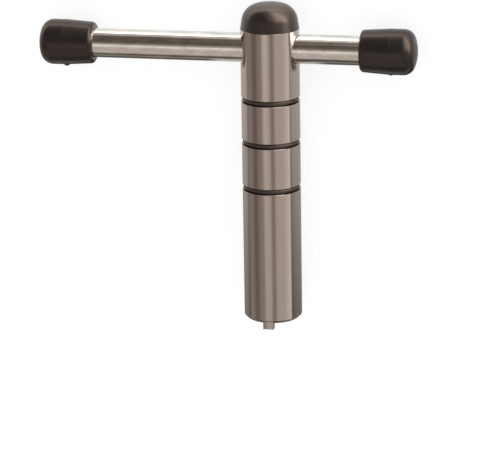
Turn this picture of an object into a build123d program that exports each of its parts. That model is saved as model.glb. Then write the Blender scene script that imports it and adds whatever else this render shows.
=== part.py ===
from build123d import *
import math
import os

# Chainring bolt wrench with a sliding T bar, lying on its side, in millimetres.
# The origin is the centre of the working face. The barrel runs along +Y towards its dome,
# the T bar runs along X, and Z is up.

# Barrel
barrel_diameter = 12.0
barrel_length = 61.2            # working face to the shoulder under the dome
end_chamfer = 0.6
edge_break = 0.1
neck_diameter = 7.6
neck_length = 3.3
neck_groove_width = 1.0
neck_groove_depth = 0.4

# Working end
recess_diameter = 8.4
recess_depth = 6.5
lug_width = 2.2
lug_height = 1.3
lug_diameter = 11.5
lug_inner_diameter = 9.0
lug_chamfer = 0.2

# Grip rings and their grooves, from the shoulder under the dome
ring_section = 1.0
ring_recess = 0.2               # how far the ring's crown lies under the barrel's surface
groove_width = 1.15
groove_lip = 0.05
ring_drops = {"upper": 14.45, "middle": 23.35, "lower": 32.95}

# T bar and its hole
bar_diameter = 6.0
bar_length = 74.0
bar_end_chamfer = 0.5
bar_offset = -8.95              # how far the bar's middle stands from the barrel's axis
bar_drop = 4.1                  # shoulder under the dome to the bar's axis
bar_running_gap = 0.08
hole_chamfer = 0.35

# Dome
dome_height = 5.3
dome_taper = 0.65
dome_crown_radius = 12.6
dome_corner_radius = 3.7

# End caps
cap_length = 11.5
cap_end_wall = 2.1
cap_mouth_diameter = 8.5
cap_mouth_round = 0.75
cap_diameter = 9.3
cap_crown_radius = 9.0
cap_corner_radius = 2.4
cap_ridge_from_tip = 5.4
cap_ridge_width = 0.3
cap_ridge_height = 0.05
nub_width = 1.5
nub_height = 0.45
nub_root = 0.3                  # how deep the nub's foot is rooted in the cap

# Detent under the bar
ball_diameter = 4.0
ball_running_gap = 0.1
contact_gap = 0.02
thread_diameter = 5.0
thread_depth = 15.0             # tapped length above the recess
screw_length = 6.0
screw_sink = 6.0                # floor of the recess to the screw's head
screw_chamfer = 0.5
socket_across_flats = 2.5
socket_depth = 2.6
spring_diameter = 3.8
spring_wire = 0.5
spring_turns = 14

barrel_radius = barrel_diameter / 2
bar_radius = bar_diameter / 2
hole_radius = bar_radius + bar_running_gap
bar_height = barrel_length - bar_drop
ring_crown_radius = barrel_radius - ring_recess
groove_floor_radius = ring_crown_radius - ring_section
spring_bore_radius = ball_diameter / 2 + ball_running_gap
screw_bottom = recess_depth + screw_sink
screw_top = screw_bottom + screw_length
ball_centre = bar_height - bar_radius - contact_gap - ball_diameter / 2


def ring_height(name):
    """Height of a grip ring's middle above the working face."""
    return barrel_length - ring_drops[name]


def turned(*outline):
    """Solid of revolution about the barrel's axis, from (radius, height) corners."""
    return revolve(make_face(Polyline(*outline, close=True)), axis=Axis.Y)


def bored(radius, low, high):
    """Round plug along the barrel's axis between two heights."""
    middle = Pos(0, (low + high) / 2, 0) * Rot(X=90)
    return middle * Cylinder(radius, high - low)


def groove(name):
    """Ring-shaped cut for one grip ring, with its lips broken."""
    middle = ring_height(name)
    half = groove_width / 2
    outside = barrel_radius + groove_lip
    return turned(
        (groove_floor_radius, middle - half),
        (barrel_radius - groove_lip, middle - half),
        (outside, middle - half - 2 * groove_lip),
        (outside, middle + half + 2 * groove_lip),
        (barrel_radius - groove_lip, middle + half),
        (groove_floor_radius, middle + half),
    )


def lugs():
    """The two driving lugs, as the parts of one ring that lie inside a flat bar across it."""
    inner = lug_inner_diameter / 2
    outer = lug_diameter / 2
    ring = turned(
        (inner, -lug_height),
        (outer - lug_chamfer, -lug_height),
        (outer, -lug_height + lug_chamfer),
        (outer, end_chamfer),
        (inner, end_chamfer),
    )
    reach = 2 * barrel_radius
    slab = Pos(0, (end_chamfer - lug_height) / 2, 0) * Box(lug_width, lug_height + end_chamfer, reach)
    return ring & slab


def barrel():
    neck_radius = neck_diameter / 2
    neck_top = barrel_length + neck_length
    groove_low = barrel_length + (neck_length - neck_groove_width) / 2
    groove_high = groove_low + neck_groove_width
    body = turned(
        (0, 0),
        (barrel_radius - end_chamfer, 0),
        (barrel_radius, end_chamfer),
        (barrel_radius, barrel_length - edge_break),
        (barrel_radius - edge_break, barrel_length),
        (neck_radius, barrel_length),
        (neck_radius, groove_low),
        (neck_radius - neck_groove_depth, groove_low),
        (neck_radius - neck_groove_depth, groove_high),
        (neck_radius, groove_high),
        (neck_radius, neck_top),
        (0, neck_top),
    )
    for name in ring_drops:
        body -= groove(name)
    body -= bored(recess_diameter / 2, 0, recess_depth)
    body -= bored(thread_diameter / 2, recess_depth, recess_depth + thread_depth)
    body -= bored(spring_bore_radius, recess_depth + thread_depth, bar_height)
    cross_hole = Pos(0, bar_height, 0) * Rot(Y=90) * Cylinder(hole_radius, 2 * barrel_diameter)
    body -= cross_hole
    rims = body.edges().filter_by(
        lambda edge: abs(edge.center().X) > barrel_radius / 2
        and abs(edge.center().Y - bar_height) < hole_radius
        and edge.length > 4 * hole_radius
    )
    body = chamfer(rims, hole_chamfer)
    return body + lugs()


def crown_drop(side, crown_radius):
    """How far a domed end falls from its middle to its side."""
    return crown_radius - math.sqrt(crown_radius ** 2 - side ** 2)


def domed(lower_outline, side, tip, crown_radius, corner_radius):
    """Solid of revolution about Y whose far end is a shallow crown with a round corner.

    lower_outline runs from the axis outwards and up to where the side begins."""
    side_top = (side, tip - crown_drop(side, crown_radius))
    outline = [
        Polyline(*lower_outline, side_top),
        RadiusArc(side_top, (0, tip), -crown_radius),
        Line((0, tip), lower_outline[0]),
    ]
    face = make_face(outline)
    corner = face.vertices().sort_by_distance(side_top + (0,))[0]
    return revolve(fillet(corner, corner_radius), axis=Axis.Y)


def dome_cap():
    foot = [(0, 0), (barrel_radius - edge_break, 0), (barrel_radius, edge_break)]
    skin = domed(foot, barrel_radius - dome_taper, dome_height, dome_crown_radius, dome_corner_radius)
    neck_radius = neck_diameter / 2
    groove_low = (neck_length - neck_groove_width) / 2
    groove_high = groove_low + neck_groove_width
    cavity = turned(
        (0, 0),
        (neck_radius, 0),
        (neck_radius, groove_low),
        (neck_radius - neck_groove_depth, groove_low),
        (neck_radius - neck_groove_depth, groove_high),
        (neck_radius, groove_high),
        (neck_radius, neck_length),
        (0, neck_length),
    )
    return Pos(0, barrel_length, 0) * (skin - cavity)


def o_ring(name):
    section = Pos(ring_crown_radius - ring_section / 2, ring_height(name)) * Circle(ring_section / 2)
    return revolve(section, axis=Axis.Y)


def t_bar():
    rod = Cylinder(bar_radius, bar_length)
    rod = chamfer(rod.edges().filter_by(GeomType.CIRCLE), bar_end_chamfer)
    return Pos(bar_offset, bar_height, 0) * Rot(Y=90) * rod


def bar_cap(side):
    """End cap of the bar, drawn with its mouth at 0 and its tip at +Y, then turned to its side.

    The ridge is where the two halves of its mould met, and the nub is flash left on that ridge."""
    widest = cap_diameter / 2
    ridge = cap_length - cap_ridge_from_tip
    half_ridge = cap_ridge_width / 2
    bore_depth = cap_length - cap_end_wall
    lower_outline = [
        (0, 0),
        (cap_mouth_diameter / 2, 0),
        (widest, ridge - half_ridge),
        (widest + cap_ridge_height, ridge),
        (widest, ridge + half_ridge),
    ]
    cap = domed(lower_outline, widest, cap_length, cap_crown_radius, cap_corner_radius)
    rim = cap.edges().filter_by(GeomType.CIRCLE).sort_by(Axis.Y)[0]
    cap = fillet(rim, cap_mouth_round)
    cap -= bored(bar_radius, 0, bore_depth)
    nub_low = widest - nub_root
    nub_high = widest + nub_height
    nub = Cone(nub_width / 2, nub_width / 6, nub_high - nub_low)
    cap += Pos((nub_low + nub_high) / 2, ridge, 0) * Rot(Y=90) * nub
    mouth = bar_offset + side * (bar_length / 2 - bore_depth)
    turn = Rot(Z=-90) if side > 0 else Rot(Z=90) * Rot(Y=180)
    return Pos(mouth, bar_height, 0) * turn * cap


def detent_ball():
    return Pos(0, ball_centre, 0) * Sphere(ball_diameter / 2)


def detent_screw():
    body = turned(
        (0, screw_bottom),
        (thread_diameter / 2 - screw_chamfer, screw_bottom),
        (thread_diameter / 2, screw_bottom + screw_chamfer),
        (thread_diameter / 2, screw_top - screw_chamfer),
        (thread_diameter / 2 - screw_chamfer, screw_top),
        (0, screw_top),
    )
    socket_radius = socket_across_flats / math.sqrt(3)
    socket = extrude(RegularPolygon(socket_radius, 6), amount=socket_depth)
    return body - Pos(0, screw_bottom, 0) * Rot(X=-90) * socket


def detent_spring():
    """Spring between the screw and the ball: a round wire along a helix."""
    coil_radius = (spring_diameter - spring_wire) / 2
    seat = math.sqrt(((ball_diameter + spring_wire) / 2) ** 2 - coil_radius ** 2)
    low = screw_top + spring_wire / 2 + contact_gap
    high = ball_centre - seat - contact_gap
    height = high - low
    path = Helix(height / spring_turns, height, coil_radius)
    wire = Plane(origin=path @ 0, z_dir=path % 0) * Circle(spring_wire / 2)
    coil = sweep(wire, path=path, is_frenet=True)
    return Pos(0, low, 0) * Rot(X=-90) * coil


parts = {
    "barrel": barrel(),
    "dome_cap": dome_cap(),
    "t_bar": t_bar(),
    "bar_cap_left": bar_cap(-1),
    "bar_cap_right": bar_cap(1),
    "detent_ball": detent_ball(),
    "detent_spring": detent_spring(),
    "detent_screw": detent_screw(),
}
for ring_name in ring_drops:
    parts["o_ring_" + ring_name] = o_ring(ring_name)

os.makedirs("parts", exist_ok=True)
for node, solid in parts.items():
    export_step(solid, f"parts/{node}.step")
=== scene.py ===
"""Chainring bolt wrench, lying on its side on a pale floor.

A grooved steel barrel with three rubber grip rings and a rubber dome carries a sliding polished bar with
rubber ends. All is in metres, in the frame of the CAD model: the barrel's axis is Y, the bar runs along X
and Z is up.
"""

import math

import bmesh
import bpy
import numpy as np
from bpy.props import FloatProperty, FloatVectorProperty, IntProperty, PointerProperty
from mathutils import Matrix, Vector


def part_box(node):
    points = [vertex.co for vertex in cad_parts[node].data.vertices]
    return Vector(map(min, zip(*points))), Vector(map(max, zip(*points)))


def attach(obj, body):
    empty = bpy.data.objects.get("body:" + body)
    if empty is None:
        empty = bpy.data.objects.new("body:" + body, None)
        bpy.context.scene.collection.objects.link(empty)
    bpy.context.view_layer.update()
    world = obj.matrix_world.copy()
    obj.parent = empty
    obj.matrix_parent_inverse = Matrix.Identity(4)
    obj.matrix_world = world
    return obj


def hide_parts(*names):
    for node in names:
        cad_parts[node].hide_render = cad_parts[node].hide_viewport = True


bl_info = {
    "name": "Chainring bolt wrench",
    "version": (1, 0, 0),
    "blender": (4, 5, 0),
    "location": "View3D > Sidebar > Bolt wrench",
    "description": "Builds a T-handle wrench for slotted chainring nuts around its packed model",
    "category": "Add Mesh",
}

MM = 0.001

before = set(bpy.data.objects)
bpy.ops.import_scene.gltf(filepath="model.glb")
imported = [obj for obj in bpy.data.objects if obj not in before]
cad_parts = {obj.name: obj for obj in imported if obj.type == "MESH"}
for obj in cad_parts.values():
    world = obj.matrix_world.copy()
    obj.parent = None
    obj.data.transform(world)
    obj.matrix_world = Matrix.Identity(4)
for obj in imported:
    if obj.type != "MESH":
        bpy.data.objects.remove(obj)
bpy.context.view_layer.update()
barrel_low, barrel_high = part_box("barrel")
dome_low, dome_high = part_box("dome_cap")
bar_low, bar_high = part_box("t_bar")
cap_low, cap_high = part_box("bar_cap_left")
right_cap_low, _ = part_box("bar_cap_right")
ball_low, ball_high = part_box("detent_ball")
screw_low, screw_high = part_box("detent_screw")

BARREL_RADIUS = barrel_high.x
SHOULDER = dome_low.y
BAR_RADIUS = bar_high.z
BAR_HEIGHT = (bar_low.y + bar_high.y) / 2
CAP_LENGTH = cap_high.x - cap_low.x
RINGS = ("o_ring_upper", "o_ring_middle", "o_ring_lower")

# How the meshes are drawn: points nearer than the weld become one, and edges bent more than the sharp angle
# stay hard.
WELD = 1e-7
SHARP_ANGLE = math.radians(24)
# Longest steps along the outlines of the barrel, the bar, the dome and the caps
BARREL_STEP = 0.8 * MM
BAR_STEP = 2 * MM
DOME_STEP = 0.5 * MM
CAP_STEP = 0.12 * MM
# Half the height of the barrel's wall round the bar's hole, and half the length of the hole that is drawn
# as one piece with the ball's bore
HALF_PATCH = 3.8 * MM
HALF_CROSSING = 2.6 * MM
# Height of the ring of points in the spring's bore, above the thread
BORE_RING_RISE = 12 * MM


# Sizes and colours that a user may change


def length(name, description, default_mm):
    """A length property, with its default given in millimetres."""
    default = default_mm * MM
    return FloatProperty(
        name=name, description=description, default=default, min=0, precision=5, unit="LENGTH"
    )


def view_angle(name, description, default_degrees):
    """An angle property, with its default given in degrees."""
    default = math.radians(default_degrees)
    return FloatProperty(name=name, description=description, default=default, subtype="ANGLE")


def colour(name, description, default):
    """A colour property."""
    return FloatVectorProperty(
        name=name, description=description, default=default, min=0, max=1, size=3, subtype="COLOR"
    )


class BarrelSettings(bpy.types.PropertyGroup):
    end_chamfer: length("End chamfer", "Chamfer round the working end", 0.6)
    edge_break: length("Edge break", "Chamfer at the shoulder under the dome", 0.03)
    groove_width: length("Groove width", "Width of each grip ring's groove", 1.15)
    groove_lip: length("Groove lip", "Chamfer on both lips of a groove", 0.02)
    ring_section: length("Ring section", "Thickness of a grip ring's round section", 1.0)
    ring_recess: length("Ring recess", "How far a ring's crown lies under the barrel's surface", 0.2)
    running_gap: length("Running gap", "Clearance between the bar and its hole, on the radius", 0.08)
    hole_chamfer: length("Hole chamfer", "Chamfer round both mouths of the bar's hole", 0.35)
    neck_diameter: length("Neck diameter", "Neck that the dome is pushed over", 7.6)
    neck_groove_width: length("Neck groove width", "Groove that holds the dome", 1.0)
    neck_groove_depth: length("Neck groove depth", "Depth of the groove that holds the dome", 0.4)
    recess_diameter: length("Recess diameter", "Recess in the working face", 8.4)
    recess_depth: length("Recess depth", "Depth of the recess", 6.5)
    thread_depth: length("Thread depth", "Tapped length above the recess", 15.0)
    ball_gap: length("Ball gap", "Clearance round the detent ball, on the radius", 0.1)
    lug_width: length("Lug width", "Width of the two driving lugs", 2.2)
    lug_inner: length("Lug inner diameter", "Distance between the lugs' inner faces", 9.0)
    lug_outer: length("Lug outer diameter", "Distance over the lugs' outer faces", 11.5)
    steel: colour("Steel", "Colour of the turned stainless steel", (0.56, 0.5, 0.46))


class BarSettings(bpy.types.PropertyGroup):
    end_chamfer: length("End chamfer", "Chamfer at both ends of the bar", 0.5)
    steel: colour("Polished steel", "Colour of the polished bar", (0.78, 0.76, 0.73))


class RubberSettings(bpy.types.PropertyGroup):
    dome_taper: length("Dome taper", "How far the dome's side leans in", 0.65)
    dome_crown: length("Dome crown radius", "Radius of the dome's top", 12.6)
    dome_corner: length("Dome corner radius", "Radius between the dome's side and top", 3.7)
    cap_mouth: length("Cap mouth diameter", "Outer diameter at the mouth of an end cap", 8.5)
    cap_diameter: length("Cap diameter", "Widest diameter of an end cap", 9.3)
    cap_mouth_round: length("Cap mouth round", "Radius round the mouth's rim", 0.75)
    cap_end_wall: length("Cap end wall", "Thickness of a cap's closed end", 2.1)
    cap_crown: length("Cap crown radius", "Radius of a cap's closed end", 9.0)
    cap_corner: length("Cap corner radius", "Radius between a cap's side and its end", 2.4)
    ridge_from_tip: length("Ridge from tip", "Place of the moulded parting ridge", 5.4)
    ridge_width: length("Ridge width", "Width of the parting ridge", 0.3)
    ridge_height: length("Ridge height", "Height of the parting ridge", 0.02)
    nub_width: length("Nub width", "Width of the flash nub on the ridge", 1.8)
    nub_height: length("Nub height", "Height of the left cap's flash nub", 0.45)
    worn_nub_height: length("Worn nub height", "Height of the right cap's nub, worn lower", 0.25)
    rubber: colour("Rubber", "Colour of the moulded rubber", (0.0155, 0.0137, 0.0124))
    # The grip rings' rubber is painted lighter than the caps' and the dome's, to lift the shade in their
    # grooves
    ring_rubber: colour("Ring rubber", "Colour of the grip rings' greyer rubber", (0.03, 0.026, 0.0235))


class DetentSettings(bpy.types.PropertyGroup):
    bright: colour("Bright steel", "Colour of the detent's ball and spring", (0.6, 0.6, 0.6))
    black: colour("Black oxide", "Colour of the detent's blackened screw", (0.06, 0.058, 0.056))


class StageSettings(bpy.types.PropertyGroup):
    view_turn: view_angle("Turn", "Turn of the view about the barrel", 11.677)
    view_tilt: view_angle("Tilt", "Tilt of the view towards the dome", 17.269)
    view_roll: view_angle("Roll", "Roll of the camera", 0.917)
    distance: length("Distance", "Distance of the camera from the point it aims at", 526.49)
    aim: FloatVectorProperty(
        name="Aim",
        description="Point that the camera aims at",
        default=(-0.00229, 0.02129, 0.01184),
        size=3,
        subtype="TRANSLATION",
    )
    lens: FloatProperty(
        name="Lens", description="Focal length of the camera, in millimetres", default=187.2, min=1
    )
    floor_size: length("Floor size", "Side of the square floor", 6000)


class MeshSettings(bpy.types.PropertyGroup):
    around: IntProperty(
        name="Steps around", description="Steps round the barrel, a multiple of 12", default=144, min=24
    )


# Profiles: points as (radius, height) rows, in metres


def arc(centre, radius, start, end, steps=14):
    """Points of a circle about the centre, from one angle to the other."""
    angles = np.linspace(start, end, steps + 1)
    return np.asarray(centre) + radius * np.stack([np.cos(angles), np.sin(angles)], axis=-1)


def unit(vector):
    """The vector scaled to a length of 1."""
    return np.asarray(vector, float) / np.linalg.norm(vector)


def rounded(before, corner, after, radius):
    """Arc that touches both sides of a corner.

    Its centre lies on the corner's bisector, the radius / sin(half the corner's angle) away."""
    before, corner, after = map(np.asarray, (before, corner, after))
    one, other = unit(before - corner), unit(after - corner)
    half = math.acos(one @ other) / 2
    centre = corner + unit(one + other) * radius / math.sin(half)
    touch = corner + one * radius / math.tan(half) - centre
    end = corner + other * radius / math.tan(half) - centre
    start = math.atan2(touch[1], touch[0])
    sweep = (math.atan2(end[1], end[0]) - start + math.pi) % (2 * math.pi) - math.pi
    return arc(centre, radius, start, start + sweep)


def crowned(foot, side, tip, crown_radius, corner_radius):
    """Side, corner and crown of a domed end, up to the axis.

    The crown is an arc about a point on the axis. The corner's centre lies corner_radius inside the straight
    side and crown_radius - corner_radius from the crown's centre, so its arc touches both."""
    foot = np.asarray(foot)
    side_top = np.array([side, tip - crown_radius + math.sqrt(crown_radius**2 - side**2)])
    along = unit(side_top - foot)
    inward = np.array([-along[1], along[0]])
    crown_centre = np.array([0.0, tip - crown_radius])
    reach = foot + corner_radius * inward - crown_centre
    half = reach @ along
    travel = -half + math.sqrt(half**2 - reach @ reach + (crown_radius - corner_radius) ** 2)
    corner_centre = crown_centre + reach + travel * along
    out = corner_centre - crown_centre
    side_angle, crown_angle = math.atan2(-inward[1], -inward[0]), math.atan2(out[1], out[0])
    corner = arc(corner_centre, corner_radius, side_angle, crown_angle)
    crown = arc(crown_centre, crown_radius, crown_angle, math.pi / 2)
    return np.vstack([foot, corner, crown[1:]])


def refined(profile, step):
    """The same profile with points added along it, none further apart than the step."""
    profile = np.asarray(profile, float)
    lengths = np.linalg.norm(np.diff(profile, axis=0), axis=1)
    profile = profile[np.r_[True, lengths > 1e-9]]
    lengths = lengths[lengths > 1e-9]
    counts = np.ceil(lengths / step).astype(int)
    place = np.concatenate([i + np.arange(n) / n for i, n in enumerate(counts)] + [[len(counts)]])
    corners = np.arange(len(profile))
    return np.stack([np.interp(place, corners, column) for column in profile.T], axis=-1)


# Surfaces: each is a pair of vertices and faces


def circle(steps):
    """Angles of equal steps round a full turn, from 0."""
    return np.arange(steps) * (2 * math.pi / steps)


def grid(points, closed=False):
    """Quads over rows and columns of points. When closed, the last column joins the first."""
    rows, columns, _ = points.shape
    index = np.arange(rows * columns).reshape(rows, columns)
    if closed:
        index = np.hstack([index, index[:, :1]])
    quads = np.stack([index[:-1, :-1], index[:-1, 1:], index[1:, 1:], index[1:, :-1]], axis=-1)
    return points.reshape(-1, 3), quads.reshape(-1, 4).tolist()


def on_turn(radius, height, angle):
    """Point at a radius, a height and an angle about the Y axis: (radius cos a, height, radius sin a)."""
    radius, height, angle = np.broadcast_arrays(radius, height, angle)
    return np.stack([radius * np.cos(angle), height, radius * np.sin(angle)], axis=-1)


def turned(profile, steps):
    """Surface of revolution about Y: each profile point carried round a full circle."""
    profile = np.asarray(profile)
    return grid(on_turn(profile[:, :1], profile[:, 1:], circle(steps)), closed=True)


def doubled(few, many):
    """Band from a ring of points to a ring of twice as many.

    Each step of the first ring gets a quad and a triangle."""
    steps = len(few)
    k = np.arange(steps)
    after = (k + 1) % steps
    first, second, third = steps + 2 * k, steps + 2 * k + 1, steps + 2 * after
    quads = np.stack([k, first, second, after], axis=-1).tolist()
    triangles = np.stack([after, second, third], axis=-1).tolist()
    return np.vstack([few, many]), quads + triangles


def half_wall(wall, rim, half_height, across, along, rows=14):
    """Half of a round wall about Y, from a hole that faces +X out to a border half a turn wide.

    A point moves in straight lines over the unrolled wall, from the rim, which is given as (angle about Y,
    height), to the border, whose corners are at plus and minus a quarter turn and plus and minus
    half_height."""
    side = np.linspace(-1, 1, along, endpoint=False)
    top = np.linspace(1, -1, across, endpoint=False)
    angle = np.concatenate([np.ones(along), top, -np.ones(along), -top]) * math.pi / 2
    height = np.concatenate([side, np.ones(across), -side, -np.ones(across)]) * half_height
    border = np.stack([angle, height], axis=-1)
    share = np.linspace(0, 1, rows + 1)[:, None, None]
    place = rim * (1 - share) + border * share
    return on_turn(wall, place[..., 1], place[..., 0])


def hole_angles(across, along):
    """Angles round a hole's rim that go with the border points of half_wall, from its lower corner."""
    steps = 2 * (across + along)
    return (np.arange(steps) - along / 2) * (2 * math.pi / steps)


def unrolled_rim(wall, hole, angles):
    """Where a hole of one radius meets a round wall of another, as (angle about the wall's axis, height)."""
    return np.stack([np.arcsin(hole * np.cos(angles) / wall), hole * np.sin(angles)], axis=-1)


def turn_about(points, to_x, to_y, to_z, origin):
    """Carries local points so that their X, Y and Z run along three directions from an origin."""
    return points @ np.array([to_x, to_y, to_z], float) + np.asarray(origin, float)


def add_piece(name, surfaces, material, body, node):
    """One mesh from several surfaces, welded where they meet and smooth but for its real edges."""
    starts = np.cumsum([0] + [len(points) for points, _ in surfaces])
    vertices = np.concatenate([points for points, _ in surfaces])
    faces = [[start + i for i in face] for start, (_, part) in zip(starts, surfaces) for face in part]
    mesh = bpy.data.meshes.new(name)
    mesh.from_pydata(vertices.tolist(), [], faces)
    shell = bmesh.new()
    shell.from_mesh(mesh)
    bmesh.ops.remove_doubles(shell, verts=shell.verts, dist=WELD)
    bmesh.ops.recalc_face_normals(shell, faces=shell.faces)
    shell.to_mesh(mesh)
    shell.free()
    mesh.shade_smooth()
    mesh.set_sharp_from_angle(angle=SHARP_ANGLE)
    mesh.materials.append(material)
    piece = bpy.data.objects.new(name, mesh)
    bpy.context.scene.collection.objects.link(piece)
    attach(piece, body)
    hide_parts(node)


# Materials

# Tint of the gloss on black rubber
WARM_GLOSS = (1, 0.8, 0.71, 1)
# What a patch of the studio is given by, after the two angles of the direction looked at
PATCH_SHAPE = ("Centre across", "Centre along", "Half width", "Half height", "Softness")


def add_node(tree, kind, inputs=None, **settings):
    """A shader node with its settings, and its inputs either linked or set."""
    node = tree.nodes.new("ShaderNode" + kind)
    for name, value in settings.items():
        setattr(node, name, value)
    for name, value in (inputs or {}).items():
        if isinstance(value, bpy.types.NodeSocket):
            tree.links.new(value, node.inputs[name])
        else:
            node.inputs[name].default_value = value
    return node


def calc(tree, operation, *values):
    """The result of a math node."""
    return add_node(tree, "Math", dict(enumerate(values)), operation=operation).outputs[0]


def smooth_step(tree, value, start, end):
    """A smooth rise from 0 to 1 while the value goes from the start to the end."""
    limits = {"Value": value, "From Min": start, "From Max": end}
    return add_node(tree, "MapRange", limits, interpolation_type="SMOOTHSTEP").outputs[0]


def blend_colour(tree, factor, one, other, mode="MIX"):
    """A blend of two colours, which are sockets 6 and 7 of the node, by a factor."""
    inputs = {"Factor": factor, 6: one, 7: other}
    return add_node(tree, "Mix", inputs, data_type="RGBA", blend_type=mode).outputs[2]


def new_group(name, inputs, outputs):
    """A node group with its sockets, given as (name, kind, default) and (name, kind)."""
    tree = bpy.data.node_groups.new(name, "ShaderNodeTree")
    for label, kind, default in inputs:
        socket = tree.interface.new_socket(label, in_out="INPUT", socket_type="NodeSocket" + kind)
        socket.default_value = default
    for label, kind in outputs:
        tree.interface.new_socket(label, in_out="OUTPUT", socket_type="NodeSocket" + kind)
    start, end = tree.nodes.new("NodeGroupInput"), tree.nodes.new("NodeGroupOutput")
    return tree, start.outputs, end.inputs


def use_group(tree, name, make, inputs):
    """Outputs of the shared node group of that name, which is built on its first use."""
    group = bpy.data.node_groups.get(name) or make(name)
    return add_node(tree, "Group", inputs, node_tree=group).outputs


def grain_group(name):
    """Fine grain of a worked surface: noise on the object's own coordinates, stretched along its marks."""
    tree, given, out = new_group(
        name,
        [
            ("Vector", "Vector", (0, 0, 0)),
            ("Stretch", "Vector", (1, 1, 1)),
            ("Tone spread", "Float", 0.1),
            ("Roughness", "Float", 0.2),
            ("Roughness spread", "Float", 0.1),
        ],
        [("Tone", "Float"), ("Roughness", "Float"), ("Height", "Float")],
    )
    stretched = {0: given["Vector"], 1: given["Stretch"]}
    place = add_node(tree, "VectorMath", stretched, operation="MULTIPLY").outputs[0]
    fine = {"Vector": place, "Scale": 1.0, "Detail": 4.0, "Roughness": 0.6}
    broad = {"Vector": place, "Scale": 0.13, "Detail": 2.0, "Roughness": 0.5}
    fine, broad = (add_node(tree, "TexNoise", noise).outputs[0] for noise in (fine, broad))
    mean = calc(tree, "MULTIPLY_ADD", broad, 0.5, calc(tree, "MULTIPLY", fine, 0.5))
    swing = calc(tree, "SUBTRACT", mean, 0.5)
    tone = calc(tree, "MULTIPLY_ADD", swing, given["Tone spread"], 1.0)
    roughness = calc(tree, "MULTIPLY_ADD", swing, given["Roughness spread"], given["Roughness"])
    for label, value in (("Tone", tone), ("Roughness", roughness), ("Height", fine)):
        tree.links.new(value, out[label])
    return tree


def softbox_group(name):
    """Patch of the room around, between two angles each way and soft at its edges: 1 inside and 0 outside."""
    inputs = [(label, "Float", 0.0) for label in ("Across", "Along", *PATCH_SHAPE)]
    tree, given, out = new_group(name, inputs, [("Mask", "Float")])

    def inside(angle, centre, half):
        offset = calc(tree, "ABSOLUTE", calc(tree, "SUBTRACT", given[angle], given[centre]))
        share = calc(tree, "DIVIDE", calc(tree, "SUBTRACT", offset, given[half]), given["Softness"])
        return smooth_step(tree, share, 0.5, -0.5)

    wide = inside("Across", "Centre across", "Half width")
    tall = inside("Along", "Centre along", "Half height")
    tree.links.new(calc(tree, "MULTIPLY", wide, tall), out["Mask"])
    return tree


def new_material(name):
    """A cleared material, its node tree and the object's own coordinates.

    A material of that name that is there already comes back without them."""
    material = bpy.data.materials.get(name)
    if material:
        return material, None, None
    material = bpy.data.materials.new(name)
    material.use_nodes = True
    tree = material.node_tree
    tree.nodes.clear()
    place = add_node(tree, "TexCoord").outputs["Object"]
    return material, tree, place


def finish_material(tree, shader):
    """Gives the material its surface."""
    output = add_node(tree, "OutputMaterial")
    tree.links.new(shader, output.inputs["Surface"])


def grained(tree, place, base, stretch, roughness, roughness_spread, tone_spread, bump):
    """Inputs of a surface with a worked grain: its colour, its roughness and its relief."""
    inputs = {
        "Vector": place,
        "Stretch": stretch,
        "Tone spread": tone_spread,
        "Roughness": roughness,
        "Roughness spread": roughness_spread,
    }
    grain = use_group(tree, "Worked grain", grain_group, inputs)
    tone = add_node(tree, "CombineColor", {channel: grain["Tone"] for channel in range(3)}).outputs[0]
    relief = {"Height": grain["Height"], "Strength": 1.0, "Distance": bump}
    return {
        "Base Color": blend_colour(tree, 1.0, (*base, 1), tone, "MULTIPLY"),
        "Roughness": grain["Roughness"],
        "Normal": add_node(tree, "Bump", relief).outputs[0],
    }


def worked_steel(name, steel, metallic=1.0, **grain):
    """Bare steel with the marks that its last tool left along one direction."""
    material, tree, place = new_material(name)
    if tree is None:
        return material
    surface = grained(tree, place, steel, **grain) | {"Metallic": metallic}
    finish_material(tree, add_node(tree, "BsdfPrincipled", surface).outputs[0])
    return material


def moulded_rubber(name, rubber, roughness, specular):
    """Black rubber from a smooth mould, with a faint bloom that greys it in patches."""
    material, tree, place = new_material(name)
    if tree is None:
        return material
    bloom = {"stretch": (2600, 2600, 2600), "roughness_spread": 0.14, "tone_spread": 0.7, "bump": 2e-6}
    surface = grained(tree, place, rubber, roughness=roughness, **bloom)
    surface |= {"Specular IOR Level": specular, "Specular Tint": WARM_GLOSS}
    finish_material(tree, add_node(tree, "BsdfPrincipled", surface).outputs[0])
    return material


def turned_steel(context):
    """Stainless steel with fine rings from turning, square to the barrel's axis."""
    return worked_steel(
        "turned_steel",
        context.scene.wrench_barrel.steel,
        stretch=(60, 9000, 60),
        roughness=0.165,
        roughness_spread=0.1,
        tone_spread=0.12,
        bump=0.3e-6,
    )


def polished_steel(context):
    """Bright steel with the faint clouds of a quick polish along the bar."""
    return worked_steel(
        "polished_steel",
        context.scene.wrench_bar.steel,
        stretch=(2500, 5200, 5200),
        roughness=0.1,
        roughness_spread=0.1,
        tone_spread=1.3,
        bump=2.2e-6,
    )


# Pieces


def neck_outline(size):
    """The barrel's neck with the groove that holds the dome, from the axis down to the shoulder."""
    neck, neck_top = size.neck_diameter / 2, barrel_high.y
    middle, half = (SHOULDER + neck_top) / 2, size.neck_groove_width / 2
    floor = neck - size.neck_groove_depth
    return [
        (0, neck_top),
        (neck, neck_top),
        (neck, middle + half),
        (floor, middle + half),
        (floor, middle - half),
        (neck, middle - half),
        (neck, SHOULDER),
    ]


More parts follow.
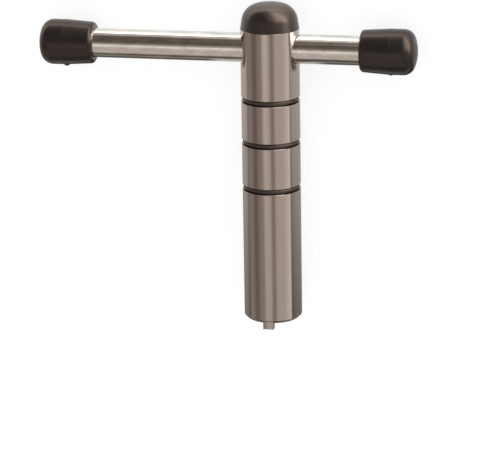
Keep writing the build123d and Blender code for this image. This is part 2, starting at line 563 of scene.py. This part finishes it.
def barrel_profiles(size):
    """Profile above the wall round the bar's hole, and profile below it, down to the recess's floor."""
    above = neck_outline(size) + [
        (BARREL_RADIUS - size.edge_break, SHOULDER),
        (BARREL_RADIUS, SHOULDER - size.edge_break),
        (BARREL_RADIUS, BAR_HEIGHT + HALF_PATCH),
    ]
    below = [(BARREL_RADIUS, BAR_HEIGHT - HALF_PATCH)]
    groove_floor = BARREL_RADIUS - size.ring_recess - size.ring_section
    half, lip = size.groove_width / 2, size.groove_lip
    for node in RINGS:
        ring_low, ring_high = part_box(node)
        centre = (ring_low.y + ring_high.y) / 2
        upper = [(BARREL_RADIUS, half + lip), (BARREL_RADIUS - lip, half), (groove_floor, half)]
        below += [(radius, centre + height) for radius, height in upper]
        below += [(radius, centre - height) for radius, height in reversed(upper)]
    recess = size.recess_diameter / 2
    below += [
        (BARREL_RADIUS, size.end_chamfer),
        (BARREL_RADIUS - size.end_chamfer, 0),
        (recess, 0),
        (recess, size.recess_depth),
    ]
    return np.array(above), np.array(below)


def lug(size, side):
    """One driving lug, with its root sunk in the barrel: a block between two arcs about Y and two faces."""
    inner, outer, half = size.lug_inner / 2, size.lug_outer / 2, size.lug_width / 2
    across = np.linspace(-half, half, 9)
    near, far = side * np.sqrt(inner**2 - across**2), side * np.sqrt(outer**2 - across**2)
    root, tip = size.end_chamfer, barrel_low.y
    rows = [(near, root), (far, root), (far, tip), (near, tip), (near, root)]
    rows = [np.stack([across, np.full_like(across, height), depth], axis=-1) for depth, height in rows]
    points = np.stack(rows)
    ends = [points[:4, column][None, [0, 1, 3, 2]].reshape(2, 2, 3) for column in (0, -1)]
    return [grid(points), grid(ends[0]), grid(ends[1])]


def cross_hole(size, steps):
    """Walls round the bar's hole, and the rim of the ball's bore that opens into it.

    The walls are the barrel's outside, the chamfers at both mouths and the hole itself. The rim is where a
    cylinder along X meets the barrel. A chamfer's edges lie its width away from the rim, square to it, over
    the unrolled barrel and over the unrolled hole."""
    hole, bevel = BAR_RADIUS + size.running_gap, size.hole_chamfer
    across, along = steps // 2, steps // 6
    angles = hole_angles(across, along)
    rim = unrolled_rim(BARREL_RADIUS, hole, angles)
    depth = BARREL_RADIUS * np.cos(rim[:, 0])
    run = np.stack([-hole * np.sin(angles) * BARREL_RADIUS / depth, hole * np.cos(angles)], axis=-1)
    out = np.stack([run[:, 1], -run[:, 0]], axis=-1) / np.linalg.norm(run, axis=1)[:, None]
    outer_angle, outer_height = rim[:, 0] + bevel * out[:, 0] / BARREL_RADIUS, rim[:, 1] + bevel * out[:, 1]
    outer = np.stack([outer_angle, outer_height], axis=-1)
    slope = hole**2 * np.cos(angles) * np.sin(angles) / depth
    size_of_run = np.hypot(slope, hole)
    inner_depth = depth - bevel * hole / size_of_run
    inner_angle = angles + bevel * slope / size_of_run / hole

    def on_hole(x, angle):
        x, angle = np.broadcast_arrays(x, angle)
        return np.stack([x, hole * np.sin(angle), hole * np.cos(angle)], axis=-1)

    outside = half_wall(BARREL_RADIUS, outer, HALF_PATCH, across, along)
    chamfer = np.stack([outside[0], on_hole(inner_depth, inner_angle)])
    share = np.linspace(0, 1, 7)[:, None]
    x = inner_depth * (1 - share) + HALF_CROSSING * share
    wall = on_hole(x, inner_angle * (1 - share) + angles * share)

    across, along = len(angles) // 2, len(angles) // 4
    ball_bore = (ball_high.x - ball_low.x) / 2 + size.ball_gap
    ball_rim = unrolled_rim(hole, ball_bore, hole_angles(across, along))
    lower = half_wall(hole, ball_rim, HALF_CROSSING, across, along)
    quarter = np.linspace(math.pi / 2, 3 * math.pi / 2, across + 1)
    upper = on_turn(hole, np.linspace(-HALF_CROSSING, HALF_CROSSING, along + 1)[:, None], quarter)

    centre = (0, BAR_HEIGHT, 0)
    mouths = [
        grid(turn_about(points, (side, 0, 0), (0, 1, 0), (0, 0, side), centre), closed=True)
        for points in (outside, chamfer, wall)
        for side in (1, -1)
    ]
    inner = [turn_about(points, (0, -1, 0), (1, 0, 0), (0, 0, 1), centre) for points in (lower, upper)]
    return mouths + [grid(inner[0], closed=True), grid(inner[1])], inner[0][0]


class WRENCH_OT_barrel(bpy.types.Operator):
    """Adds the turned barrel with its grooves, bar hole, bores and driving lugs"""

    bl_idname = "wrench.add_barrel"
    bl_label = "Barrel"

    def execute(self, context):
        size = context.scene.wrench_barrel
        steps = context.scene.wrench_mesh.around
        above, below = barrel_profiles(size)
        surfaces, mouth = cross_hole(size, steps)
        surfaces += [turned(refined(profile, BARREL_STEP), steps) for profile in (above, below)]

        angles = np.arctan2(mouth[:, 2], mouth[:, 0])
        radius = np.hypot(mouth[:, 0], mouth[:, 2])[0]
        thread = (screw_high.x - screw_low.x) / 2
        thread_top = size.recess_depth + size.thread_depth
        bores = [(radius, thread_top + BORE_RING_RISE), (radius, thread_top)]
        bores += [(thread, thread_top), (thread, size.recess_depth)]
        rings = np.stack([mouth] + [on_turn(bore, height, angles) for bore, height in bores])
        surfaces.append(grid(rings, closed=True))
        # The thread's points go in the circle's order. An angle a hair short of a full turn comes first.
        from_x = angles % (2 * math.pi)
        from_x[from_x > 2 * math.pi - 1e-6] -= 2 * math.pi
        floor_rim = on_turn(size.recess_diameter / 2, size.recess_depth, circle(steps))
        surfaces.append(doubled(floor_rim, rings[-1][np.argsort(from_x)]))
        surfaces += lug(size, 1) + lug(size, -1)
        material = turned_steel(context)
        add_piece("turned_barrel", surfaces, material, "barrel_body", "barrel")
        return {"FINISHED"}


class WRENCH_OT_dome(bpy.types.Operator):
    """Adds the rubber dome that is pushed over the barrel's neck"""

    bl_idname = "wrench.add_dome"
    bl_label = "Dome"

    def execute(self, context):
        rubber, barrel = context.scene.wrench_rubber, context.scene.wrench_barrel
        rim = (BARREL_RADIUS - barrel.edge_break, SHOULDER)
        foot = (BARREL_RADIUS, SHOULDER + barrel.edge_break)
        side = BARREL_RADIUS - rubber.dome_taper
        skin = crowned(foot, side, dome_high.y, rubber.dome_crown, rubber.dome_corner)
        profile = refined(np.vstack([neck_outline(barrel), rim, skin]), DOME_STEP)
        material = moulded_rubber("moulded_dome", rubber.rubber, roughness=0.3, specular=0.7)
        surface = turned(profile, context.scene.wrench_mesh.around)
        add_piece("rubber_dome", [surface], material, "barrel_body", "dome_cap")
        return {"FINISHED"}


class WRENCH_OT_grip_rings(bpy.types.Operator):
    """Adds the three rubber grip rings in their grooves"""

    bl_idname = "wrench.add_grip_rings"
    bl_label = "Grip rings"

    def execute(self, context):
        barrel, rubber = context.scene.wrench_barrel, context.scene.wrench_rubber
        # The rings' rubber is painted lighter, to lift the shade in their grooves
        material = moulded_rubber("seal_rings", rubber.ring_rubber, roughness=0.42, specular=0.8)
        section = barrel.ring_section / 2
        for node in RINGS:
            low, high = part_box(node)
            centre = (BARREL_RADIUS - barrel.ring_recess - section, (low.y + high.y) / 2)
            outline = arc(centre, section, 0, 2 * math.pi, steps=24)
            surface = turned(outline, context.scene.wrench_mesh.around)
            name = node.replace("o_ring", "grip_ring")
            add_piece(name, [surface], material, "barrel_body", node)
        return {"FINISHED"}


class WRENCH_OT_t_bar(bpy.types.Operator):
    """Adds the polished sliding bar"""

    bl_idname = "wrench.add_t_bar"
    bl_label = "T bar"

    def execute(self, context):
        chamfer = context.scene.wrench_bar.end_chamfer
        half = (bar_high.x - bar_low.x) / 2
        end = [(0, half), (BAR_RADIUS - chamfer, half), (BAR_RADIUS, half - chamfer)]
        profile = refined(end + [(radius, -place) for radius, place in reversed(end)], BAR_STEP)
        points, faces = turned(profile, context.scene.wrench_mesh.around)
        centre = ((bar_low.x + bar_high.x) / 2, BAR_HEIGHT, 0)
        points = turn_about(points, (0, -1, 0), (1, 0, 0), (0, 0, 1), centre)
        material = polished_steel(context)
        add_piece("polished_bar", [(points, faces)], material, "bar_body", "t_bar")
        return {"FINISHED"}


def cap_surface(rubber, nub_height, steps):
    """End cap about Y, with its mouth at 0 and its nub towards +X.

    The nub raises the radius by its height times (1 - distance squared) squared, where the distance is
    measured over the skin from the nub's middle and is 1 at its edge."""
    widest = rubber.cap_diameter / 2
    mouth, bore_depth = rubber.cap_mouth / 2, CAP_LENGTH - rubber.cap_end_wall
    ridge, half = CAP_LENGTH - rubber.ridge_from_tip, rubber.ridge_width / 2
    rim = rounded((BAR_RADIUS, 0), (mouth, 0), (widest, ridge - half), rubber.cap_mouth_round)
    bore = [(0, bore_depth), (BAR_RADIUS, bore_depth), (BAR_RADIUS, 0)]
    side = [(widest, ridge - half), (widest + rubber.ridge_height, ridge)]
    skin = crowned((widest, ridge + half), widest, CAP_LENGTH, rubber.cap_crown, rubber.cap_corner)
    profile = refined(np.vstack([bore, rim, side, skin]), CAP_STEP)
    angles = circle(steps)
    around = (angles + math.pi) % (2 * math.pi) - math.pi
    radius, height = profile[:, :1], profile[:, 1:]
    squared = ((height - ridge) ** 2 + (around * widest) ** 2) / (rubber.nub_width / 2) ** 2
    outside = radius > mouth
    bump = np.clip(1 - squared, 0, 1) ** 2 * nub_height * outside
    return grid(on_turn(radius + bump, height, angles), closed=True)


class WRENCH_OT_bar_caps(bpy.types.Operator):
    """Adds the two rubber end caps of the bar"""

    bl_idname = "wrench.add_bar_caps"
    bl_label = "Bar caps"

    def execute(self, context):
        rubber = context.scene.wrench_rubber
        material = moulded_rubber("moulded_caps", rubber.rubber, roughness=0.26, specular=0.5)
        caps = (
            ("bar_cap_left", -1, cap_high.x, rubber.nub_height),
            ("bar_cap_right", 1, right_cap_low.x, rubber.worn_nub_height),
        )
        for node, side, mouth, nub_height in caps:
            points, faces = cap_surface(rubber, nub_height, context.scene.wrench_mesh.around)
            placed = turn_about(points, (0, -1, 0), (side, 0, 0), (0, 0, side), (mouth, BAR_HEIGHT, 0))
            add_piece("rubber_" + node, [(placed, faces)], material, "bar_body", node)
        return {"FINISHED"}


class WRENCH_OT_detent(bpy.types.Operator):
    """Gives the detent ball, its spring and the screw behind them their finishes"""

    bl_idname = "wrench.finish_detent"
    bl_label = "Detent"

    def execute(self, context):
        detent = context.scene.wrench_detent
        bright = worked_steel(
            "bright_steel",
            detent.bright,
            stretch=(3000, 3000, 3000),
            roughness=0.16,
            roughness_spread=0.1,
            tone_spread=0.1,
            bump=0.5e-6,
        )
        black = worked_steel(
            "black_oxide_steel",
            detent.black,
            metallic=0.6,
            stretch=(2400, 2400, 2400),
            roughness=0.42,
            roughness_spread=0.2,
            tone_spread=0.5,
            bump=3e-6,
        )
        for node, material in (("detent_ball", bright), ("detent_spring", bright), ("detent_screw", black)):
            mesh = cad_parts[node].data
            mesh.materials.clear()
            mesh.materials.append(material)
        return {"FINISHED"}


# Stage

# The floor as the camera sees it: a grey that shows the tool's shadow, and the light that lifts it to white
SHADED, LIFT = (0.3, 0.3, 0.3, 1), 0.78
# The floor and the room as rays see them that are neither the camera's nor mirrored
MATT, PLAIN_LIGHT = (0.85, 0.85, 0.85, 1), (0.9, 0.9, 0.9, 1)
WHITE = (1, 1, 1, 1)
# How brightly mirrored rays see the floor: a painted glow, dim before the tool as painted shade of the tool,
# bright behind it, and darker again at its left corner and far off. It glows with FLOOR_GLARE, and each row
# adds its amount where all of its smooth steps have risen. A step is an axis and the places in metres where
# it starts and ends.
FLOOR_GLARE = 0.09
GLARE = {
    "under and before the tool": (0.5, ("Y", -0.04, 0.06)),
    "behind the bar": (0.27, ("Y", 0.0535, 0.0615)),
    "behind the tool": (1.9, ("Y", 0.066, 0.098)),
    "left of the barrel": (0.07, ("X", -0.011, -0.018)),
    "behind the dome": (0.9, ("X", -0.006, 0.004), ("X", 0.017, 0.01), ("Y", 0.066, 0.086)),
    "left corner": (-1.3, ("X", -0.02, -0.07), ("Y", 0.09, 0.14)),
    "far floor": (-1.5, ("Y", 0.1, 0.17)),
}
# Tints of the floor's painted glow: near the tool, behind the bar and far behind it
NEAR_TINT, BAR_TINT, FAR_TINT = (1, 0.93, 0.875, 1), (0.985, 0.985, 0.975, 1), (1, 0.925, 0.865, 1)

# The card that the bar's underside mirrors: its distance before the bar, its half length, its top and
# bottom, and the middle of its gap at the barrel. A fade goes from where the card is clear to where it is
# full, in metres.
FLAG_DISTANCE = 5.1 * MM
FLAG_HALF_LENGTH = 60 * MM
FLAG_TOP, FLAG_BOTTOM = 4 * MM, -5 * MM
FLAG_MIDDLE = -1 * MM
FLAG_FADES = {
    "barrel": (0.0092, 0.013),
    "ends": (0.06, 0.045),
    "top": (0.0019, 0.0009),
    "bottom": (-0.0045, -0.002),
}
FLAG_COLOUR = (0.125, 0.107, 0.095, 1)


def new_sheet(name, corners):
    """A flat sheet for the stage, with its material's cleared tree and its own coordinates.

    What the sheet gives off is found by the rays that reach it, and isn't aimed at as a lamp."""
    mesh = bpy.data.meshes.new(name)
    mesh.from_pydata(corners, [], [(0, 1, 2, 3)])
    sheet = bpy.data.objects.new(name, mesh)
    bpy.context.scene.collection.objects.link(sheet)
    material = bpy.data.materials.new(name)
    material.use_nodes = True
    material.cycles.emission_sampling = "NONE"
    mesh.materials.append(material)
    tree = material.node_tree
    tree.nodes.clear()
    place = add_node(tree, "SeparateXYZ", {0: add_node(tree, "TexCoord").outputs["Object"]}).outputs
    return sheet, tree, place


def mirrored_rays(tree):
    """1 for the rays that a glossy or clear surface sends on, and 0 for the others."""
    path = add_node(tree, "LightPath").outputs
    return calc(tree, "MAXIMUM", path["Is Glossy Ray"], path["Is Transmission Ray"])


def add_floor(size):
    """Plain floor under the tool.

    The camera sees it white with the tool's soft shadow on it, and mirrored rays see a painted glow on it,
    with painted shade where it is dim before the tool."""
    half, level = size / 2, -BARREL_RADIUS
    corners = [(-half, -half, level), (half, -half, level), (half, half, level), (-half, half, level)]
    floor, tree, place = new_sheet("floor", corners)
    matt = add_node(tree, "BsdfDiffuse", {"Color": MATT}).outputs[0]
    # The painted glow that mirrored rays see: painted shade where it is low, painted light where it is high
    glare = FLOOR_GLARE
    for amount, *steps in GLARE.values():
        risen = 1.0
        for axis, start, end in steps:
            risen = calc(tree, "MULTIPLY", smooth_step(tree, place[axis], start, end), risen)
        glare = calc(tree, "MULTIPLY_ADD", risen, amount, glare)
    glare = calc(tree, "MAXIMUM", glare, FLOOR_GLARE)
    tint = blend_colour(tree, smooth_step(tree, place["Y"], 0.05, 0.06), NEAR_TINT, BAR_TINT)
    tint = blend_colour(tree, smooth_step(tree, place["Y"], 0.066, 0.074), tint, FAR_TINT)
    glow = add_node(tree, "Emission", {"Color": tint, "Strength": glare}).outputs[0]
    shaded = add_node(tree, "BsdfDiffuse", {"Color": SHADED}).outputs[0]
    lift = add_node(tree, "Emission", {"Color": WHITE, "Strength": LIFT}).outputs[0]
    seen = add_node(tree, "AddShader", {0: shaded, 1: lift}).outputs[0]
    rest = add_node(tree, "MixShader", {0: mirrored_rays(tree), 1: matt, 2: glow}).outputs[0]
    camera_ray = add_node(tree, "LightPath").outputs["Is Camera Ray"]
    finish_material(tree, add_node(tree, "MixShader", {0: camera_ray, 1: rest, 2: seen}).outputs[0])


def add_flag():
    """Low dark card along the bar's front, which only mirrored rays see: the bar's underside mirrors it as a
    painted dark reflection.

    It fades out towards its ends and its upper and lower edges, and is clear at the barrel."""
    y = BAR_HEIGHT - FLAG_DISTANCE
    top = [(-FLAG_HALF_LENGTH, y, FLAG_TOP), (FLAG_HALF_LENGTH, y, FLAG_TOP)]
    bottom = [(FLAG_HALF_LENGTH, y, FLAG_BOTTOM), (-FLAG_HALF_LENGTH, y, FLAG_BOTTOM)]
    flag, tree, place = new_sheet("front_flag", top + bottom)
    flag.visible_camera = flag.visible_diffuse = flag.visible_shadow = flag.visible_transmission = False
    aside = calc(tree, "ABSOLUTE", calc(tree, "SUBTRACT", place["X"], FLAG_MIDDLE))
    values = {"barrel": aside, "ends": aside, "top": place["Z"], "bottom": place["Z"]}
    cover = 1.0
    for part, limits in FLAG_FADES.items():
        cover = calc(tree, "MULTIPLY", smooth_step(tree, values[part], *limits), cover)
    glow = add_node(tree, "Emission", {"Color": FLAG_COLOUR, "Strength": 1.0}).outputs[0]
    clear = add_node(tree, "BsdfTransparent").outputs[0]
    finish_material(tree, add_node(tree, "MixShader", {0: cover, 1: clear, 2: glow}).outputs[0])


# The studio as metal and rubber mirror it. A direction is given in degrees: across, from straight up
# towards +X, and along, towards +Y. Each patch has the values of PATCH_SHAPE and its colour.
ROOM = (0.4, 0.36, 0.335)
PATCHES = {
    "front light": (-14, -41, 45, 24.5, 9, (0.535, 0.465, 0.425)),
    "front flag": (-10, -86, 90, 18, 16, (0.1, 0.085, 0.07)),
    "barrel light": (0, -16, 105, 12, 8, (0.6, 0.545, 0.51)),
    "left wall": (-60, -15, 41, 14, 12, (0.34, 0.3, 0.28)),
    "left wall core": (-55, -15, 11, 14, 14, (0.2, 0.165, 0.145)),
    "lens line": (16.5, -15, 8, 14, 11, (0.29, 0.255, 0.23)),
    "right rise": (78, -15, 12, 14, 16, (0.74, 0.69, 0.65)),
    "right edge line": (86, -15, 3.5, 14, 4, (0.95, 0.92, 0.88)),
    "bar line": (-12, -7.5, 10, 7, 9, (0.86, 0.78, 0.73)),
    "dark ceiling": (-45, 50, 56, 38.3, 23, (0.118, 0.096, 0.08)),
    "back glow": (0, 90, 200, 17, 20, (0.82, 0.74, 0.67)),
    "ceiling light": (20, 64, 32, 14, 17, (0.85, 0.77, 0.71)),
    "ceiling step": (32, 43, 30, 12, 15, (1.1, 1.0, 0.93)),
    "right window": (78, 55, 42, 36, 30, (4.9, 4.45, 4.1)),
    "right window core": (98, 45, 28, 40, 26, (6.2, 5.7, 5.2)),
}


def add_world():
    """Plain light for every ray but the mirrored ones, which see the studio's lights and its darker parts."""
    world = bpy.data.worlds.new("studio")
    bpy.context.scene.world = world
    world.use_nodes = True
    world.cycles.sampling_method = "NONE"
    tree = world.node_tree
    tree.nodes.clear()
    direction = add_node(tree, "SeparateXYZ", {0: add_node(tree, "TexCoord").outputs["Generated"]}).outputs
    across = calc(tree, "DEGREES", calc(tree, "ARCTAN2", direction["X"], direction["Z"]))
    along = calc(tree, "DEGREES", calc(tree, "ARCSINE", direction["Y"]))
    seen = (*ROOM, 1)
    for *shape, tint in PATCHES.values():
        inputs = {"Across": across, "Along": along} | dict(zip(PATCH_SHAPE, shape))
        mask = use_group(tree, "Softbox", softbox_group, inputs)["Mask"]
        seen = blend_colour(tree, mask, seen, (*tint, 1))
    lit = blend_colour(tree, mirrored_rays(tree), PLAIN_LIGHT, seen)
    camera_ray = add_node(tree, "LightPath").outputs["Is Camera Ray"]
    shown = blend_colour(tree, camera_ray, lit, WHITE)
    background = add_node(tree, "Background", {"Color": shown, "Strength": 1.0})
    output = add_node(tree, "OutputWorld")
    tree.links.new(background.outputs[0], output.inputs["Surface"])


def add_camera(stage):
    """Camera at the photograph's viewing angle: turned about the barrel, tilted, rolled and set back."""
    roll = Matrix.Rotation(stage.view_roll, 3, "Z")
    tilt = Matrix.Rotation(stage.view_tilt, 3, "X")
    turn = Matrix.Rotation(-stage.view_turn, 3, "Y")
    view = roll @ tilt @ turn
    placed = view.transposed().to_4x4()
    placed.translation = Vector(stage.aim) + Vector(view[2]) * stage.distance
    data = bpy.data.cameras.new("camera")
    data.sensor_width, data.lens = 36, stage.lens
    data.clip_start, data.clip_end = 0.01, 20
    camera = bpy.data.objects.new("camera", data)
    camera.matrix_world = placed
    bpy.context.scene.collection.objects.link(camera)
    bpy.context.scene.camera = camera


class WRENCH_OT_stage(bpy.types.Operator):
    """Adds the floor, the studio light and the camera"""

    bl_idname = "wrench.add_stage"
    bl_label = "Stage"

    def execute(self, context):
        stage = context.scene.wrench_stage
        add_floor(stage.floor_size)
        add_flag()
        add_world()
        add_camera(stage)
        context.scene.view_settings.view_transform = "Standard"
        return {"FINISHED"}


class VIEW3D_PT_wrench(bpy.types.Panel):
    """Lists the pieces and the stage with their settings"""

    bl_label = "Bolt wrench"
    bl_idname = "VIEW3D_PT_wrench"
    bl_space_type = "VIEW_3D"
    bl_region_type = "UI"
    bl_category = "Bolt wrench"

    def draw(self, context):
        for name, (_, operators) in SETTINGS.items():
            box = self.layout.box()
            for operator in operators:
                box.operator(operator.bl_idname)
            group = getattr(context.scene, name)
            for setting in group.__annotations__:
                box.prop(group, setting)


# Each group of settings, with the operators that it stands with in the panel
SETTINGS = {
    "wrench_mesh": (MeshSettings, ()),
    "wrench_barrel": (BarrelSettings, (WRENCH_OT_barrel, WRENCH_OT_grip_rings)),
    "wrench_rubber": (RubberSettings, (WRENCH_OT_dome, WRENCH_OT_bar_caps)),
    "wrench_bar": (BarSettings, (WRENCH_OT_t_bar,)),
    "wrench_detent": (DetentSettings, (WRENCH_OT_detent,)),
    "wrench_stage": (StageSettings, (WRENCH_OT_stage,)),
}
CLASSES = [item for group, operators in SETTINGS.values() for item in (group, *operators)]
CLASSES.append(VIEW3D_PT_wrench)


def register():
    for item in CLASSES:
        bpy.utils.register_class(item)
    for name, (group, _) in SETTINGS.items():
        setattr(bpy.types.Scene, name, PointerProperty(type=group))


def unregister():
    for name in SETTINGS:
        delattr(bpy.types.Scene, name)
    for item in reversed(CLASSES):
        bpy.utils.unregister_class(item)


def main():
    register()
    bpy.ops.wrench.add_barrel()
    bpy.ops.wrench.add_dome()
    bpy.ops.wrench.add_grip_rings()
    bpy.ops.wrench.add_t_bar()
    bpy.ops.wrench.add_bar_caps()
    bpy.ops.wrench.finish_detent()
    bpy.ops.wrench.add_stage()


if __name__ == "__main__":
    main()
